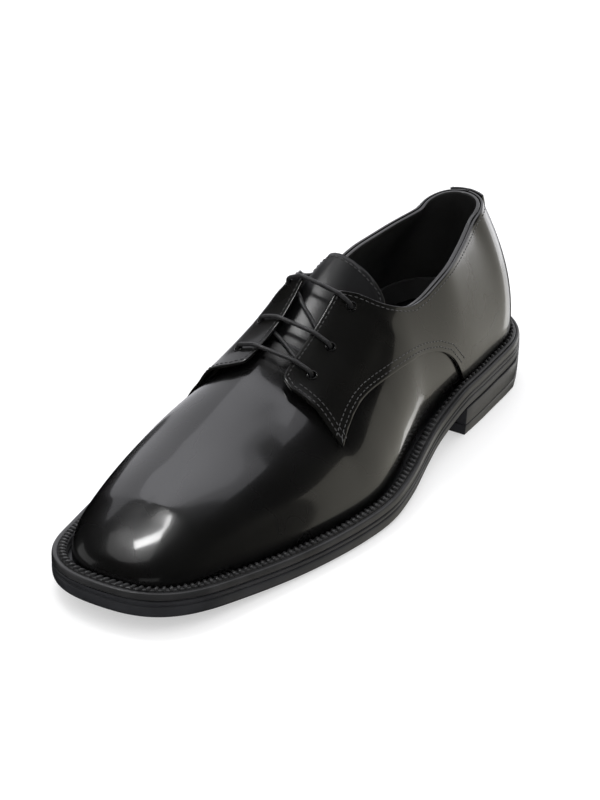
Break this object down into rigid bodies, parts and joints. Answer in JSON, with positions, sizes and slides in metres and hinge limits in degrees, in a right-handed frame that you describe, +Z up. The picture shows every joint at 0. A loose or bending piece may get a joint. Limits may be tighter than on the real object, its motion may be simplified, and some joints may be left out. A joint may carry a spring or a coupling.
{
  "type": "derby shoe",
  "caption": "Laced leather derby shoe for the left foot, with open facings over a tongue, a square toe, a storm welt and a stacked heel.",
  "frame": {"origin": "centre of the shoe's footprint box, on the floor under the sole", "axes": "+Z up, -Y towards the toe, +X towards the outer side of the left foot"},
  "size_m": [0.1148, 0.308, 0.0947],
  "materials": {
    "upper_leather": "glossy polished black leather",
    "lining": "matt black lining leather",
    "sole_rubber": "charcoal rubber with a soft sheen",
    "lace_cord": "thin round waxed black cord"
  },
  "bodies": {
    "root": {"upper": "upper_leather", "quarter_lateral": "upper_leather", "quarter_medial": "upper_leather", "heel_tab": "upper_leather", "tongue": "upper_leather", "insole": "lining", "welt": "sole_rubber", "outsole": "sole_rubber", "heel_stack": "sole_rubber", "top_lift": "sole_rubber", "lace": "lace_cord"}
  },
  "joints": []
}
